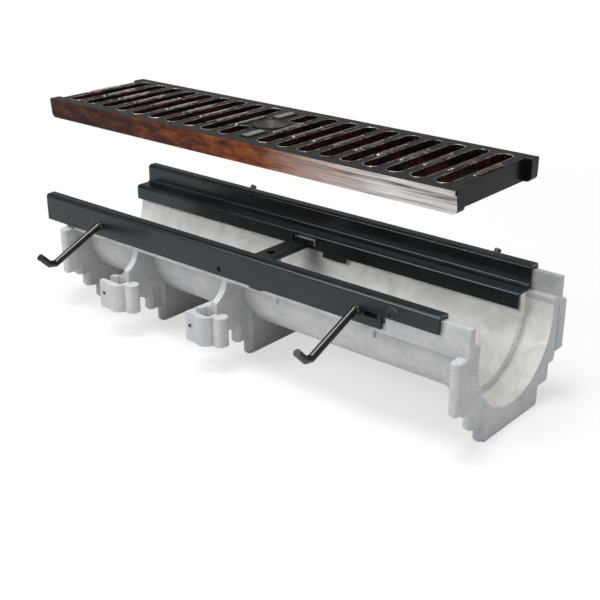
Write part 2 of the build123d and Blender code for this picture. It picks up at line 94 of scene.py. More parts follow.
def add(tree, kind, settings=None, stops=(), **inputs):
    """Adds a node. settings go to its properties, and stops, as (position, hex colour), to
    its colour ramp. inputs are values or output sockets, named as on the node with _ for a
    space, or i and the socket's number."""
    node = tree.nodes.new(kind)
    for name, value in (settings or {}).items():
        setattr(node, name, value)
    if stops:
        elements = node.color_ramp.elements
        while len(elements) < len(stops):
            elements.new(0.5)
        for element, (position, colour) in zip(elements, stops):
            element.position = position
            element.color = linear(colour)
    for name, value in inputs.items():
        key = int(name[1:]) if name[0] == "i" and name[1:].isdigit() else name.replace("_", " ")
        if isinstance(value, bpy.types.NodeSocket):
            tree.links.new(value, node.inputs[key])
        else:
            node.inputs[key].default_value = value
    return node


print("mid grey #808080 is", round(linear("#808080")[0], 3), "in linear light")

# %% [markdown]
# A material starts as one Principled shader. Noise in object coordinates, sized in
# millimetres, gives it clouds and grain that stay put when the part is moved. A bump lifts
# the grain, and a bevel in the shader rounds the edges that the CAD model leaves sharp.

# %% A material, and the scale of a pattern
def new_material(name, **shader):
    """An empty material with one Principled shader, whose constants go on its sockets."""
    material = bpy.data.materials.new(name)
    material.use_nodes = True
    tree = material.node_tree
    tree.nodes.clear()
    place = add(tree, "ShaderNodeTexCoord").outputs["Object"]
    surface = add(tree, "ShaderNodeBsdfPrincipled", **shader)
    add(tree, "ShaderNodeOutputMaterial", Surface=surface.outputs["BSDF"])
    return material, tree, place, surface


def per_metre(size_mm):
    """The scale at which a pattern's features are about size_mm across: 1 m over the size."""
    return 1.0 / (size_mm * MM)


print("features of 2 mm need a scale of", per_metre(2.0))

# %% [markdown]
# ## Finishes
#
# **Trough.** Sheet moulding compound: polyester resin with chopped glass, pressed in a hot
# steel mould. The fibres flow while it is pressed, which leaves cloudy, marbled patches of
# a lighter and a darker pale grey and a faint orange peel. Two noises, one for the flow and
# one for the clouds, give the marbling better than one does, because the patches then
# differ in size.

# %% Moulding compound: cool pale grey, marbled, with fine specks of fibre
FLOW_MM, CLOUD_MM, FIBRE_MM = 70.0, 22.0, 3.0
moulding, tree, place, surface = new_material(
    "pressed_glass_polyester", Roughness=0.46, IOR=1.5, Specular_IOR_Level=0.3
)
flow = add(
    tree, "ShaderNodeTexNoise", Vector=place, Scale=per_metre(FLOW_MM),
    Detail=3.0, Distortion=1.2,
).outputs["Fac"]
cloud = add(
    tree, "ShaderNodeTexNoise", Vector=place, Scale=per_metre(CLOUD_MM),
    Detail=6.0, Roughness=0.62, Distortion=0.8,
).outputs["Fac"]
fibre = add(
    tree, "ShaderNodeTexNoise", Vector=place, Scale=per_metre(FIBRE_MM),
    Detail=3.0, Roughness=0.6,
).outputs["Fac"]
flow_colour = add(
    tree, "ShaderNodeValToRGB", Fac=flow,
    stops=((0.30, "#a4a8ab"), (0.52, "#b2b4b6"), (0.72, "#bfc0be")),
).outputs["Color"]
cloud_colour = add(
    tree, "ShaderNodeValToRGB", Fac=cloud,
    stops=((0.30, "#9ca0a3"), (0.50, "#b1b3b5"), (0.70, "#c1c2c0")),
).outputs["Color"]
marbled = add(
    tree, "ShaderNodeMix", {"data_type": "RGBA"}, i0=0.55, i6=flow_colour, i7=cloud_colour
).outputs[2]
speck = add(
    tree, "ShaderNodeValToRGB", Fac=fibre, stops=((0.25, "#e6e6e6"), (0.6, "#ffffff"))
).outputs["Color"]
outside_tone = add(
    tree, "ShaderNodeMix", {"data_type": "RGBA", "blend_type": "MULTIPLY"},
    i0=0.6, i6=marbled, i7=speck,
).outputs[2]
print("moulding compound: patches of about", FLOW_MM, "and", CLOUD_MM, "mm")

# %% [markdown]
# The inside of the trough is painted lighter and warmer: painted light, for the light that falls
# into it. A point counts as inside when it is close enough to the trough's axis. The limit
# runs inside the wall, where nobody sees it, and grows where the wider socket begins.

# %% Inside of the trough: painted light, lighter and warmer than the outside
AXIS_HEIGHT = 82.0 * MM
SOCKET_START, SOCKET_FULL = 235.0 * MM, 235.8 * MM
TROUGH_REACH, SOCKET_REACH = 56.5 * MM, 61.8 * MM
beside_axis = add(
    tree, "ShaderNodeVectorMath", {"operation": "MULTIPLY_ADD"},
    i0=place, i1=(0.0, 1.0, 1.0), i2=(0.0, 0.0, -AXIS_HEIGHT),
).outputs["Vector"]
from_axis = add(
    tree, "ShaderNodeVectorMath", {"operation": "LENGTH"}, i0=beside_axis
).outputs["Value"]
along = add(tree, "ShaderNodeSeparateXYZ", Vector=place).outputs["X"]
reach = add(
    tree, "ShaderNodeMapRange", Value=along,
    From_Min=SOCKET_START, From_Max=SOCKET_FULL, To_Min=TROUGH_REACH, To_Max=SOCKET_REACH,
).outputs["Result"]
inside = add(
    tree, "ShaderNodeMath", {"operation": "LESS_THAN"}, i0=from_axis, i1=reach
).outputs[0]
# Painted light: the inside gets a lighter, warmer colour for the light that falls into the trough.
painted_light_inside = add(
    tree, "ShaderNodeValToRGB", Fac=cloud,
    stops=((0.30, "#c0c0be"), (0.50, "#cfcecb"), (0.70, "#dfdeda")),
).outputs["Color"]
both_sides = add(
    tree, "ShaderNodeMix", {"data_type": "RGBA"}, i0=inside, i6=outside_tone, i7=painted_light_inside
).outputs[2]
dull = add(tree, "ShaderNodeMapRange", Value=cloud, To_Min=0.40, To_Max=0.56)
rounded = add(tree, "ShaderNodeBevel", {"samples": 4}, Radius=0.9 * MM)
relief = add(
    tree, "ShaderNodeBump", Height=fibre, Distance=0.12 * MM, Strength=1.0,
    Normal=rounded.outputs["Normal"],
)
tree.links.new(both_sides, surface.inputs["Base Color"])
tree.links.new(dull.outputs["Result"], surface.inputs["Roughness"])
tree.links.new(relief.outputs["Normal"], surface.inputs["Normal"])
print("painted light inside: within", TROUGH_REACH / MM, "mm of the trough's axis")

# %% [markdown]
# **Rails and crossbar.** Folded steel sheet, dipped in black paint and stoved. The film is
# smooth and a little uneven in gloss, so each rounded fold shows as one thin bright line.
# The upright faces mirror the pale floor and look dark slate grey rather than black.

# %% Dip paint on the folded steel: blue black, satin to glossy
SMEAR_MM, PEEL_MM = 35.0, 1.6
dip_paint, tree, place, surface = new_material(
    "stoved_black_dip_paint",
    IOR=1.5, Specular_Tint=(0.84, 0.94, 1.0, 1.0), Specular_IOR_Level=0.46,
)
smear = add(
    tree, "ShaderNodeTexNoise", Vector=place, Scale=per_metre(SMEAR_MM),
    Detail=4.0, Distortion=0.6,
).outputs["Fac"]
peel = add(
    tree, "ShaderNodeTexNoise", Vector=place, Scale=per_metre(PEEL_MM), Detail=2.0
).outputs["Fac"]
paint_colour = add(
    tree, "ShaderNodeValToRGB", Fac=smear,
    stops=((0.30, "#0b0f11"), (0.55, "#0f1416"), (0.75, "#151b1e")),
).outputs["Color"]
dull = add(tree, "ShaderNodeMapRange", Value=smear, To_Min=0.20, To_Max=0.32)
rounded = add(tree, "ShaderNodeBevel", {"samples": 4}, Radius=0.6 * MM)
relief = add(
    tree, "ShaderNodeBump", Height=peel, Distance=0.02 * MM, Strength=1.0,
    Normal=rounded.outputs["Normal"],
)
tree.links.new(paint_colour, surface.inputs["Base Color"])
tree.links.new(dull.outputs["Result"], surface.inputs["Roughness"])
tree.links.new(relief.outputs["Normal"], surface.inputs["Normal"])
print("dip paint: gloss changes over about", SMEAR_MM, "mm")

# %% [markdown]
# **Anchor rods.** Round bar with the same black dip, but the film runs thicker on a rod and
# sags in small waves, which break up the bright line along it.

# %% Dip paint on the rods: black, wavy and glossy
RUNS_MM = 6.0
rod_paint, tree, place, surface = new_material(
    "glossy_black_dip_paint", Roughness=0.28, IOR=1.5
)
runs = add(
    tree, "ShaderNodeTexNoise", Vector=place, Scale=per_metre(RUNS_MM), Detail=3.0
).outputs["Fac"]
rod_colour = add(
    tree, "ShaderNodeValToRGB", Fac=runs, stops=((0.35, "#0c0d0e"), (0.7, "#191b1c"))
).outputs["Color"]
relief = add(tree, "ShaderNodeBump", Height=runs, Distance=0.10 * MM, Strength=1.0)
tree.links.new(rod_colour, surface.inputs["Base Color"])
tree.links.new(relief.outputs["Normal"], surface.inputs["Normal"])
print("rod paint: waves of about", RUNS_MM, "mm")

# %% [markdown]
# **Grating.** Grey iron cast in sand and dipped in bitumen varnish while warm. The varnish
# pools in a nearly black film over the pebbly casting skin. The grating's box gives its
# middle, from which the places of the slots and of the boss are counted.

# %% Bitumen varnish on cast iron: nearly black, brown where it is thin
POOL_MM, SKIN_MM = 26.0, 1.8
grating_low, grating_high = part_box("grating")
X_MIDDLE = (grating_low.x + grating_high.x) / 2
PAD_TOP = grating_high.z
varnish, tree, place, surface = new_material(
    "bitumen_dipped_cast_iron", Roughness=0.24, IOR=1.5, Specular_IOR_Level=0.1
)
pool = add(
    tree, "ShaderNodeTexNoise", Vector=place, Scale=per_metre(POOL_MM),
    Detail=5.0, Roughness=0.6, Distortion=0.7,
).outputs["Fac"]
skin = add(
    tree, "ShaderNodeTexNoise", Vector=place, Scale=per_metre(SKIN_MM),
    Detail=4.0, Roughness=0.65,
).outputs["Fac"]
film_colour = add(
    tree, "ShaderNodeValToRGB", Fac=pool,
    stops=((0.30, "#0c0b0b"), (0.55, "#131110"), (0.72, "#1d1613"), (0.85, "#2a1b15")),
).outputs["Color"]
normal = add(tree, "ShaderNodeNewGeometry").outputs["Normal"]
facing = add(tree, "ShaderNodeSeparateXYZ", Vector=normal).outputs
along = add(tree, "ShaderNodeSeparateXYZ", Vector=place).outputs
print("grating's middle at X", round(X_MIDDLE / MM, 1), "mm")

# %% [markdown]
# In the slots the varnish drained off the upright walls, so rust brown shows through. These
# walls face along the grating. Its end faces do so too, but lie further out and stay black.

# %% Thin brown film on the slot walls
SLOT_WALLS_END = 241.5 * MM
turned_along = add(
    tree, "ShaderNodeMath", {"operation": "ABSOLUTE"}, i0=facing["X"]
).outputs[0]
wall_mask = add(
    tree, "ShaderNodeMapRange", Value=turned_along,
    From_Min=0.75, From_Max=0.98, To_Min=0.0, To_Max=0.8,
).outputs["Result"]
beside_middle = add(
    tree, "ShaderNodeMath", {"operation": "ADD"}, i0=along["X"], i1=-X_MIDDLE
).outputs[0]
from_middle = add(
    tree, "ShaderNodeMath", {"operation": "ABSOLUTE"}, i0=beside_middle
).outputs[0]
not_end = add(
    tree, "ShaderNodeMath", {"operation": "LESS_THAN"}, i0=from_middle, i1=SLOT_WALLS_END
).outputs[0]
slot_mask = add(
    tree, "ShaderNodeMath", {"operation": "MULTIPLY"}, i0=wall_mask, i1=not_end
).outputs[0]
slot_colour = add(
    tree, "ShaderNodeValToRGB", Fac=pool,
    stops=((0.30, "#170e0c"), (0.48, "#2c1612"), (0.62, "#4a2218"), (0.75, "#150f0d")),
).outputs["Color"]
walls = add(
    tree, "ShaderNodeMix", {"data_type": "RGBA"}, i0=slot_mask, i6=film_colour, i7=slot_colour
).outputs[2]
print("slot walls: within", SLOT_WALLS_END / MM, "mm of the middle")

# %% [markdown]
# The long side faces drained too and rusted in blotches, more so towards the socket end. The
# blotches come from a noise drawn out along the grating, with a slow change added to it, so
# that the dark left end turns rust brown by and by instead of at a line.

# %% Which faces are the long side faces
SIDE_START = 60.0 * MM
sideways = add(
    tree, "ShaderNodeMath", {"operation": "ABSOLUTE"}, i0=facing["Y"]
).outputs[0]
upright = add(
    tree, "ShaderNodeMapRange", Value=sideways,
    From_Min=0.9, From_Max=0.985, To_Min=0.0, To_Max=0.9,
).outputs["Result"]
off_axis = add(
    tree, "ShaderNodeMath", {"operation": "ABSOLUTE"}, i0=along["Y"]
).outputs[0]
outside = add(
    tree, "ShaderNodeMath", {"operation": "GREATER_THAN"}, i0=off_axis, i1=SIDE_START
).outputs[0]
side_mask = add(
    tree, "ShaderNodeMath", {"operation": "MULTIPLY"}, i0=upright, i1=outside
).outputs[0]
print("side faces: more than", SIDE_START / MM, "mm off the axis")

# %% Rust on the long side faces
BLOTCH_MM = 9.0
RUST_START, RUST_FULL = -200.0 * MM, 60.0 * MM
drained = add(
    tree, "ShaderNodeMapRange", Value=along["X"],
    From_Min=RUST_START, From_Max=RUST_FULL, To_Min=-0.16, To_Max=0.10,
).outputs["Result"]
blotch_place = add(
    tree, "ShaderNodeVectorMath", {"operation": "MULTIPLY"}, i0=place, i1=(0.4, 1.0, 1.0)
).outputs["Vector"]
blotches = add(
    tree, "ShaderNodeTexNoise", Vector=blotch_place, Scale=per_metre(BLOTCH_MM),
    Detail=6.0, Roughness=0.68,
).outputs["Fac"]
brownness = add(
    tree, "ShaderNodeMath", {"operation": "ADD"}, i0=blotches, i1=drained
).outputs[0]
side_colour = add(
    tree, "ShaderNodeValToRGB", Fac=brownness,
    stops=((0.25, "#1d0f09"), (0.42, "#45200f"), (0.55, "#6e3416"), (0.72, "#8d5527")),
).outputs["Color"]
sides = add(
    tree, "ShaderNodeMix", {"data_type": "RGBA"}, i0=side_mask, i6=walls, i7=side_colour
).outputs[2]
print("rust: grows from X", RUST_START / MM, "to", RUST_FULL / MM, "mm")

# %% [markdown]
# Towards the socket end handling has rubbed the front side face down to pale grey iron, in
# fine streaks along its length. The streaks are a fine noise drawn out nearly thirty times.

# %% Rubbed streaks at the socket end
STREAK_MM = 2.4
RUB_START, RUB_FULL = 30.0 * MM, 170.0 * MM
streak_place = add(
    tree, "ShaderNodeVectorMath", {"operation": "MULTIPLY"}, i0=place, i1=(0.035, 1.0, 1.0)
).outputs["Vector"]
streaks = add(
    tree, "ShaderNodeTexNoise", Vector=streak_place, Scale=per_metre(STREAK_MM),
    Detail=5.0, Roughness=0.6,
).outputs["Fac"]
front = add(
    tree, "ShaderNodeMapRange", Value=facing["Y"],
    From_Min=-0.9, From_Max=-0.985, To_Min=0.0, To_Max=1.0,
).outputs["Result"]
front_face = add(
    tree, "ShaderNodeMath", {"operation": "MULTIPLY"}, i0=front, i1=outside
).outputs[0]
rub_start = add(
    tree, "ShaderNodeMapRange", Value=along["X"],
    From_Min=RUB_START, From_Max=RUB_FULL, To_Min=0.0, To_Max=1.0,
).outputs["Result"]
rub = add(
    tree, "ShaderNodeMath", {"operation": "MULTIPLY"}, i0=rub_start, i1=front_face
).outputs[0]
rub_colour = add(
    tree, "ShaderNodeValToRGB", Fac=streaks,
    stops=((0.32, "#4d4542"), (0.42, "#a39d9a"), (0.55, "#c4bfbd"), (0.70, "#dcd9d8")),
).outputs["Color"]
rubbed = add(
    tree, "ShaderNodeMix", {"data_type": "RGBA"}, i0=rub, i6=sides, i7=rub_colour
).outputs[2]
print("rub: full from X", RUB_FULL / MM, "mm")

# %% [markdown]
# The dish of the boss is painted dull grey, a painted reflection for the grey sheen of its glossy
# varnish. The shine of the whole varnish is held low. Seen as flat as here, a full one would mirror
# so much of the white background that the top looked grey, while in the photograph it is nearly
# black.

# %% Dish of the boss, and the casting skin
DISH_EDGE, DISH_FULL = 15.5 * MM, 13.5 * MM
beside_bolt = add(
    tree, "ShaderNodeVectorMath", {"operation": "MULTIPLY_ADD"},
    i0=place, i1=(1.0, 1.0, 0.0), i2=(-X_MIDDLE, 0.0, 0.0),
).outputs["Vector"]
from_bolt = add(
    tree, "ShaderNodeVectorMath", {"operation": "LENGTH"}, i0=beside_bolt
).outputs["Value"]
dish = add(
    tree, "ShaderNodeMapRange", Value=from_bolt,
    From_Min=DISH_EDGE, From_Max=DISH_FULL, To_Min=0.0, To_Max=0.8,
).outputs["Result"]
# Painted reflection: the dish is coloured grey for the sheen that its glossy varnish shows.
dish_sheen_colour = add(
    tree, "ShaderNodeValToRGB", Fac=skin, stops=((0.35, "#2a2624"), (0.65, "#58524e"))
).outputs["Color"]
film = add(
    tree, "ShaderNodeMix", {"data_type": "RGBA"}, i0=dish, i6=rubbed, i7=dish_sheen_colour
).outputs[2]
film_dull = add(tree, "ShaderNodeMapRange", Value=skin, To_Min=0.14, To_Max=0.30)
dull = add(
    tree, "ShaderNodeMath", {"operation": "MULTIPLY_ADD"},
    i0=dish, i1=0.25, i2=film_dull.outputs["Result"],
).outputs[0]
rounded = add(tree, "ShaderNodeBevel", {"samples": 4}, Radius=0.8 * MM)
relief = add(
    tree, "ShaderNodeBump", Height=skin, Distance=0.14 * MM, Strength=1.0,
    Normal=rounded.outputs["Normal"],
)
tree.links.new(film, surface.inputs["Base Color"])
tree.links.new(dull, surface.inputs["Roughness"])
tree.links.new(relief.outputs["Normal"], surface.inputs["Normal"])
print("dish: grey within", DISH_EDGE / MM, "mm of the bolt's axis")

# %% [markdown]
# ** Knurl tips.** The tips of the knurl are painted grey, a painted highlight for the glints that
# the tips catch, while the varnish stays dark in the valleys. The height above the pad tells the
# tips from the valleys.

# %% Painted highlight on the knurl: bright tips in a dark film
PATCH_MM = 2.6
TIP_START, TIP_FULL = PAD_TOP + 0.15 * MM, PAD_TOP + 0.50 * MM
tip_glint, tree, place, surface = new_material(
    "varnished_iron_painted_tip_glint", Roughness=0.3, IOR=1.55
)
patch = add(
    tree, "ShaderNodeTexNoise", Vector=place, Scale=per_metre(PATCH_MM),
    Detail=4.0, Roughness=0.7,
).outputs["Fac"]
height = add(tree, "ShaderNodeSeparateXYZ", Vector=place).outputs["Z"]
tip = add(
    tree, "ShaderNodeMapRange", Value=height,
    From_Min=TIP_START, From_Max=TIP_FULL, To_Min=0.0, To_Max=1.0,
).outputs["Result"]
tip_glint_colour = add(
    tree, "ShaderNodeValToRGB", Fac=patch,
    stops=((0.38, "#1f1812"), (0.50, "#5f5140"), (0.64, "#b4a68f")),
).outputs["Color"]
glinting_knurl = add(
    tree, "ShaderNodeMix", {"data_type": "RGBA"}, i0=tip, i6=linear("#14110f"), i7=tip_glint_colour
).outputs[2]
relief = add(tree, "ShaderNodeBump", Height=patch, Distance=0.05 * MM, Strength=1.0)
tree.links.new(glinting_knurl, surface.inputs["Base Color"])
tree.links.new(relief.outputs["Normal"], surface.inputs["Normal"])
print("painted glint on the tips from", round(TIP_FULL / MM, 2), "mm up")

# %% [markdown]
# ** Bright rims and studs.** The rounded rims and the studs stand highest. They get a bright,
# patchy, half metallic grey: a painted highlight, for the light that their rounded edges catch
# in the varnish.

# %% Painted highlight on the rims and studs: half metal, bright and patchy
SHEEN_MM = 9.0
highlight_crest, tree, place, surface = new_material(
    "painted_highlight_rims", Metallic=0.6, Roughness=0.26
)
sheen = add(
    tree, "ShaderNodeTexNoise", Vector=place, Scale=per_metre(SHEEN_MM),
    Detail=5.0, Roughness=0.7,
).outputs["Fac"]
rim_highlight_colour = add(
    tree, "ShaderNodeValToRGB", Fac=sheen,
    stops=((0.36, "#2b2826"), (0.50, "#6d6863"), (0.64, "#b5b0aa")),
).outputs["Color"]
relief = add(tree, "ShaderNodeBump", Height=sheen, Distance=0.05 * MM, Strength=1.0)
tree.links.new(rim_highlight_colour, surface.inputs["Base Color"])
tree.links.new(relief.outputs["Normal"], surface.inputs["Normal"])
print("painted highlight on the rims: wear in patches of about", SHEEN_MM, "mm")

# %% [markdown]
# **Weld nut.** Zinc plated steel, dull and slightly blue, with small pale crystals.

# %% Zinc plate: blue grey metal, dull
CRYSTAL_MM = 2.0
zinc, tree, place, surface = new_material("zinc_plate", Metallic=1.0, Roughness=0.38)
spangle = add(
    tree, "ShaderNodeTexNoise", Vector=place, Scale=per_metre(CRYSTAL_MM), Detail=3.0
).outputs["Fac"]
zinc_colour = add(
    tree, "ShaderNodeValToRGB", Fac=spangle, stops=((0.3, "#9aa0a6"), (0.7, "#b9bec2"))
).outputs["Color"]
relief = add(tree, "ShaderNodeBump", Height=spangle, Distance=0.01 * MM, Strength=1.0)
tree.links.new(zinc_colour, surface.inputs["Base Color"])
tree.links.new(relief.outputs["Normal"], surface.inputs["Normal"])
print("zinc plate: crystals of about", CRYSTAL_MM, "mm")

# %% [markdown]
# Each CAD node then gets the finish of the real piece that it stands for.

# %% Give each CAD node its finish
FINISHES = {
    "channel_body": moulding,
    "rear_rail": dip_paint,
    "front_rail": dip_paint,
    "crossbar": dip_paint,
    "lock_nut": zinc,
    "anchor_rear_right": rod_paint,
    "anchor_rear_left": rod_paint,
    "anchor_front_right": rod_paint,
    "anchor_front_left": rod_paint,
    "grating": varnish,
}
for node_name, material in FINISHES.items():
    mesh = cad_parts[node_name].data
    mesh.materials.clear()
    mesh.materials.append(material)
print("finishes on", len(FINISHES), "nodes")

# %% [markdown]
# ## Surfaces made with numpy
#
# A surface here is a whole grid of points worked out at once: two parameters run over the
# grid, a formula gives every point, and `from_pydata` turns the grid into faces. Modifiers
# could make such shapes too, but a formula says in one line what the shape is.

# %% Grid to mesh
def grid_faces(rows, columns, wrap_rows=False, wrap_columns=False):
    """Quads of a rows by columns grid, optionally closed round either way."""
    r = np.arange(rows if wrap_rows else rows - 1)[:, None]
    c = np.arange(columns if wrap_columns else columns - 1)[None, :]
    r1, c1 = (r + 1) % rows, (c + 1) % columns
    quads = np.stack(
        np.broadcast_arrays(r * columns + c, r * columns + c1, r1 * columns + c1, r1 * columns + c),
        axis=-1,
    )
    return quads.reshape(-1, 4)


def join(parts):
    """Puts several (points, faces) meshes into one."""
    starts = np.cumsum([0] + [len(points) for points, _ in parts[:-1]])
    faces = [faces + start for (_, faces), start in zip(parts, starts)]
    return np.concatenate([points for points, _ in parts]), np.concatenate(faces)


def piece_from(name, parts, material, smooth):
    """One mesh piece from several (points, faces) parts. It rides on the part's root body."""
    points, faces = join(parts)
    mesh = bpy.data.meshes.new(name)
    mesh.from_pydata(points.tolist(), [], faces.tolist())
    mesh.update()
    mesh.materials.append(material)
    mesh.polygons.foreach_set("use_smooth", [smooth] * len(mesh.polygons))
    piece = bpy.data.objects.new(name, mesh)
    bpy.context.scene.collection.objects.link(piece)
    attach(piece, "root")
    print(name + ":", len(parts), "parts,", len(faces), "faces")


print("a grid of 3 by 4 points has", len(grid_faces(3, 4)), "faces")

# %% [markdown]
# ## Rims round the slots and the pads
#
# The pattern maker rounds every edge over, so that sand does not break away and the casting
# comes out of its mould. The rounded edge stands up as a thin bead, and its bright grey finish
# draws a painted highlight round each slot. A small circle is swept round the slot's outline.

# %% Outline and bead
CORNER_STEPS, BEAD_SIDES = 10, 8


def rounded_outline(length_y, width_x, corner, steps=CORNER_STEPS):
    """Points and outward normals of a rectangle with round corners, long side along Y:
    each corner's centre plus the corner radius times the turning normal."""
    u = (np.arange(4)[:, None] * np.pi / 2 + np.linspace(0.0, np.pi / 2, steps)).ravel()
    normal = np.stack([np.cos(u), np.sin(u)], axis=-1)
    signs = np.repeat([(1, 1), (-1, 1), (-1, -1), (1, -1)], steps, axis=0)
    return signs * (width_x / 2 - corner, length_y / 2 - corner) + corner * normal, normal


def bead(centre, outline, normal, radius, sides=BEAD_SIDES):
    """Tube round a closed outline: outline + radius * (cos v * normal, sin v * up)."""
    v = np.linspace(0.0, 2 * np.pi, sides, endpoint=False)[None, :, None]
    flat = outline[:, None, :] + radius * np.cos(v) * normal[:, None, :]
    up = np.broadcast_to(radius * np.sin(v), flat.shape[:2] + (1,))
    points = np.concatenate([flat, up], axis=-1).reshape(-1, 3) + np.array(centre)
    return points, grid_faces(len(outline), sides, wrap_rows=True, wrap_columns=True)[:, ::-1]


print("a bead has", 4 * CORNER_STEPS * BEAD_SIDES, "faces")

# %% [markdown]
# The sizes repeat those of the CAD model: nine long slots on each side of the boss, and a
# short one beside it on each side. The rim's outline runs 0.8 mm outside the slot.

# %% Beads round the slots
GRATING_TOP = PAD_TOP - 0.8 * MM
SLOT_PITCH, SLOTS_EACH_SIDE = 23.8 * MM, 9
SLOT_LENGTH, SLOT_WIDTH = 106.0 * MM, 14.2 * MM
SHORT_LENGTH, SHORT_ROUND = 33.0 * MM, 5.1 * MM
SHORT_Y = (SLOT_LENGTH - SHORT_LENGTH) / 2
RIM_OUT, RIM_RADIUS = 0.8 * MM, 0.5 * MM
slot_outline = rounded_outline(
    SLOT_LENGTH + 2 * RIM_OUT, SLOT_WIDTH + 2 * RIM_OUT, SLOT_WIDTH / 2 + RIM_OUT
)
short_outline = rounded_outline(
    SHORT_LENGTH + 2 * RIM_OUT, SLOT_WIDTH + 2 * RIM_OUT, SHORT_ROUND + RIM_OUT
)
slot_steps = [side * (k + 1.5) for k in range(SLOTS_EACH_SIDE) for side in (-1, 1)]
slot_rims = [
    bead((X_MIDDLE + k * SLOT_PITCH, 0.0, GRATING_TOP), *slot_outline, RIM_RADIUS)
    for k in slot_steps
]
slot_rims += [
    bead(
        (X_MIDDLE + side * SLOT_PITCH / 2, side * SHORT_Y, GRATING_TOP),
        *short_outline, RIM_RADIUS,
    )
    for side in (-1, 1)
]
piece_from("slot_rims", slot_rims, highlight_crest, smooth=True)

# %% [markdown]
# Each rib and both end bars carry a raised grip pad. Its rim is a slightly thinner bead,
# sunk a little into the pad's edge.

# %% Beads round the pads
GRATING_LENGTH, EAR_LENGTH, END_BAR = 500.0 * MM, 7.0 * MM, 9.8 * MM
PAD_LENGTH, PAD_WIDTH, PAD_Y = 38.0 * MM, 5.0 * MM, 2.0 * MM
PAD_RIM_RADIUS, PAD_RIM_SUNK = 0.45 * MM, 0.15 * MM
end_bar_x = GRATING_LENGTH / 2 - EAR_LENGTH - END_BAR / 2
rib_places = [k * SLOT_PITCH for k in range(-SLOTS_EACH_SIDE, SLOTS_EACH_SIDE + 1) if k]
pad_places = [-end_bar_x] + rib_places + [end_bar_x]
pad_outline = rounded_outline(PAD_LENGTH, PAD_WIDTH, PAD_WIDTH / 2)
pad_rims = [
    bead((X_MIDDLE + x, PAD_Y, PAD_TOP - PAD_RIM_SUNK), *pad_outline, PAD_RIM_RADIUS)
    for x in pad_places
]
# The pad rims take the bright grey finish of the slot rims: a painted highlight.
piece_from("pad_rims", pad_rims, highlight_crest, smooth=True)

# %% [markdown]
# ## Knurl on the grip pads
#
# Each pad has a fine knurl that wheels and soles grip. The real knurl is about 1 mm; it is
# drawn at 1.7 mm so that it still shows. A tent-shaped wave along the pad times one across
# it gives rows of small pyramids. A bump in the material would be cheaper, but it wouldn't
# catch the light along the pads' edges.

# %% Knurled strips
KNURL_PITCH, KNURL_HEIGHT = 1.7 * MM, 0.55 * MM
KNURL_SUNK, BORDER_SUNK = 0.05 * MM, 0.2 * MM
STRIP_LENGTH, STRIP_WIDTH = 34.0 * MM, 3.4 * MM


def tent(t):
    """0 at whole numbers, 1 halfway between them, straight in between."""
    return 1.0 - np.abs(2.0 * (t % 1.0) - 1.0)


def knurl_strip(centre, length_y, width_x):
    """Grid of pyramids: height is the tent wave along times the one across. The border
    dips into the pad, so the strip has no open edge above it."""
    across = max(1, round(width_x / KNURL_PITCH))
    rows = max(1, round(length_y / KNURL_PITCH))
    u = np.linspace(0.0, across, 2 * across + 1)
    v = np.linspace(0.0, rows, 2 * rows + 1)
    uu, vv = np.meshgrid(u, v, indexing="ij")
    z = KNURL_HEIGHT * tent(uu) * tent(vv) - KNURL_SUNK
    edge = (uu == 0) | (uu == across) | (vv == 0) | (vv == rows)
    z = np.where(edge, -BORDER_SUNK, z)
    x, y = (uu / across - 0.5) * width_x, (vv / rows - 0.5) * length_y
    points = np.stack([x, y, z], axis=-1).reshape(-1, 3)
    return points + np.array(centre), grid_faces(len(u), len(v))


strips = [
    knurl_strip((X_MIDDLE + x, PAD_Y, PAD_TOP), STRIP_LENGTH, STRIP_WIDTH) for x in pad_places
]
# The knurl takes the grey-tipped finish, whose tips carry a painted highlight.
piece_from("grip_knurl", strips, tip_glint, smooth=False)

# %% [markdown]
# ## Knurl on the two plates beside the boss
#
# Two raised plates fill the places beside the boss where there is no slot. The same
# pyramids keep them from being slippery.

# %% Knurled plates
PLATE_Y = 35.5 * MM
PLATE_LENGTH, PLATE_WIDTH = 25.5 * MM, 9.4 * MM
plates = [
    knurl_strip(
        (X_MIDDLE + side * SLOT_PITCH / 2, -side * PLATE_Y, PAD_TOP), PLATE_LENGTH, PLATE_WIDTH
    )
    for side in (-1, 1)
]
# These knurled plates take the same grey-tipped finish, a painted highlight on the tips.
piece_from("plate_knurl", plates, tip_glint, smooth=False)

# %% [markdown]
# ## Studs
#
# In front of each pad stands a small domed stud, cast with the rib and coloured bright grey as a
# painted highlight: a half sphere pressed flat, its radius shrinking as the sine of the polar
# angle.

# %% Domed studs
STUD_RADIUS, STUD_HEIGHT = 1.9 * MM, 1.5 * MM
STUD_SUNK, STUD_GAP = 0.05 * MM, 3.6 * MM
STUD_Y = PAD_Y - PAD_LENGTH / 2 - STUD_GAP
POLE_ANGLE = 0.02


def dome(centre, radius, height, around=20, rings=6):
    """Dome from its rim to its top: radius * sin(polar angle), height * cos of it. It stops
    just short of the pole, where all the points would fall together."""
    u = np.linspace(0.0, 2 * np.pi, around, endpoint=False)
    v = np.linspace(np.pi / 2, POLE_ANGLE, rings)
    uu, vv = np.meshgrid(u, v, indexing="ij")
    points = np.stack(
        [radius * np.sin(vv) * np.cos(uu), radius * np.sin(vv) * np.sin(uu), height * np.cos(vv)],
        axis=-1,
    ).reshape(-1, 3)
    return points + np.array(centre), grid_faces(around, rings, wrap_rows=True)


studs = [
    dome((X_MIDDLE + x, STUD_Y, GRATING_TOP - STUD_SUNK), STUD_RADIUS, STUD_HEIGHT)
    for x in pad_places
]
piece_from("studs", studs, highlight_crest, smooth=True)

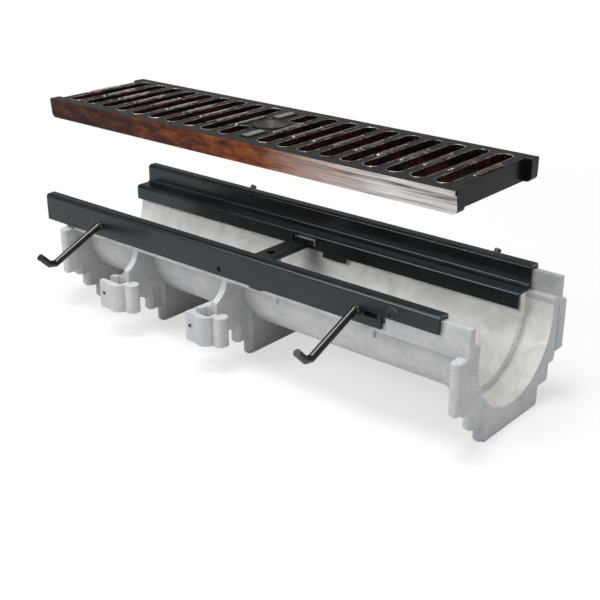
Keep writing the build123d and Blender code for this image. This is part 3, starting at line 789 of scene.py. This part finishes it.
# %% [markdown]
# ## Weld beads
#
# Each anchor rod passes through its hole in the skirt and is welded there. A bead is a
# small ring with ripples: a circle swept round the rod, its radius going up and down about
# a dozen times where the weld was laid drop by drop. The rod leans, so its ring is a little
# taller than wide.

# %% Weld rings round the rods
SKIRT_Y, HOLE_Z = 80.0 * MM, 103.0 * MM
ANCHOR_X = (-180.0 * MM, 152.0 * MM)
ROD_RADIUS, WELD_RADIUS, WELD_OUT = 3.5 * MM, 1.5 * MM, 0.4 * MM
RIPPLES, RIPPLE_DEPTH = 11, 0.22
LEAN_STRETCH = 1.08


def weld_ring(x, side, around=72, sides=10):
    """Torus in the skirt's plane: radius of the tube times (1 + depth * cos(ripples * u))."""
    u = np.linspace(0.0, 2 * np.pi, around, endpoint=False)
    v = np.linspace(0.0, 2 * np.pi, sides, endpoint=False)
    uu, vv = np.meshgrid(u, v, indexing="ij")
    tube = WELD_RADIUS * (1.0 + RIPPLE_DEPTH * np.cos(RIPPLES * uu))
    ring = ROD_RADIUS + WELD_OUT + tube * np.cos(vv)
    points = np.stack(
        [
            x + ring * np.cos(uu),
            side * (SKIRT_Y + tube * np.sin(vv)),
            HOLE_Z + ring * np.sin(uu) * LEAN_STRETCH,
        ],
        axis=-1,
    ).reshape(-1, 3)
    faces = grid_faces(around, sides, wrap_rows=True, wrap_columns=True)
    return points, faces if side > 0 else faces[:, ::-1]


rings = [weld_ring(x, side) for x in ANCHOR_X for side in (-1, 1)]
piece_from("weld_beads", rings, rod_paint, smooth=True)

# %% [markdown]
# ## Floor and background
#
# The product shot is on plain white. The floor is matt paper that looks white to the camera,
# not because of more light but because it glows for rays that the eye follows: straight ones,
# and those that come off a shiny or through a clear surface. Near the object it glows less,
# so that the object's soft shadow stays visible.

# %% White paper floor
FLOOR_SIZE = 8.0
SHADOW_NEAR, SHADOW_FAR, SHADOW_SHARE = 0.30, 0.80, 0.62


def seen_rays(tree, glossy_share):
    """1 for rays straight from the camera or through glass, glossy_share for mirrored ones."""
    path = add(tree, "ShaderNodeLightPath").outputs
    straight = add(
        tree, "ShaderNodeMath", {"operation": "MAXIMUM"},
        i0=path["Is Camera Ray"], i1=path["Is Transmission Ray"],
    ).outputs[0]
    return add(
        tree, "ShaderNodeMath", {"operation": "MULTIPLY_ADD", "use_clamp": True},
        i0=path["Is Glossy Ray"], i1=glossy_share, i2=straight,
    ).outputs[0]


floor_mesh = bpy.data.meshes.new("floor")
half = FLOOR_SIZE / 2
floor_mesh.from_pydata(
    [(-half, -half, 0), (half, -half, 0), (half, half, 0), (-half, half, 0)], [], [(0, 1, 2, 3)]
)
floor = bpy.data.objects.new("floor", floor_mesh)
bpy.context.scene.collection.objects.link(floor)
paper = bpy.data.materials.new("white_paper")
paper.use_nodes = True
tree = paper.node_tree
tree.nodes.clear()
floor_place = add(tree, "ShaderNodeTexCoord").outputs["Object"]
away = add(
    tree, "ShaderNodeVectorMath", {"operation": "LENGTH"}, i0=floor_place
).outputs["Value"]
whiteness = add(
    tree, "ShaderNodeMapRange", Value=away,
    From_Min=SHADOW_NEAR, From_Max=SHADOW_FAR, To_Min=SHADOW_SHARE, To_Max=1.0,
).outputs["Result"]
white_share = add(
    tree, "ShaderNodeMath", {"operation": "MULTIPLY"}, i0=seen_rays(tree, 1.0), i1=whiteness
).outputs[0]
matt = add(tree, "ShaderNodeBsdfDiffuse", Color=linear("#e9e9e9")).outputs[0]
glow = add(tree, "ShaderNodeEmission", Color=(1, 1, 1, 1), Strength=1.0).outputs[0]
both = add(tree, "ShaderNodeMixShader", Fac=white_share, i1=matt, i2=glow).outputs[0]
add(tree, "ShaderNodeOutputMaterial", Surface=both)
floor_mesh.materials.append(paper)
print("floor:", FLOOR_SIZE, "m wide")

# %% [markdown]
# ## Lights and world
#
# Soft light comes from the front left, which is why the long sides are bright and the socket
# end is in half shade. One large lamp stands there, a weak one fills the right, and one hangs
# overhead. The world is white to the camera and dim as a light. Mirrored, it is dim as well,
# as a studio's ceiling is: that keeps the top of the varnished grating dark.

# %% Lamps and world
AIM = (0.0, 0.0, 0.1)
CEILING_SHARE = 0.2


def soft_lamp(name, place_m, target_m, size_m, watts):
    """A square area lamp turned towards its target."""
    data = bpy.data.lights.new(name, "AREA")
    data.size = size_m
    data.energy = watts
    lamp = bpy.data.objects.new(name, data)
    lamp.location = place_m
    lamp.rotation_euler = (Vector(target_m) - Vector(place_m)).to_track_quat("-Z", "Y").to_euler()
    bpy.context.scene.collection.objects.link(lamp)
    print("lamp", name, watts, "W")


soft_lamp("key_front_left", (-0.9, -1.7, 1.3), AIM, 1.1, 30.0)
soft_lamp("fill_right", (1.8, -0.3, 0.7), (0.1, 0.0, 0.1), 0.9, 7.0)
soft_lamp("overhead", (-0.1, -0.2, 1.9), AIM, 0.9, 41.0)

world = bpy.data.worlds.new("studio")
bpy.context.scene.world = world
world.use_nodes = True
tree = world.node_tree
tree.nodes.clear()
surround = add(tree, "ShaderNodeBackground", Color=linear("#f4f6f8"), Strength=0.12).outputs[0]
white = add(tree, "ShaderNodeBackground", Color=(1, 1, 1, 1), Strength=1.0).outputs[0]
seen = seen_rays(tree, CEILING_SHARE)
both = add(tree, "ShaderNodeMixShader", Fac=seen, i1=surround, i2=white).outputs[0]
add(tree, "ShaderNodeOutputWorld", Surface=both)
bpy.context.scene.view_settings.view_transform = "Standard"
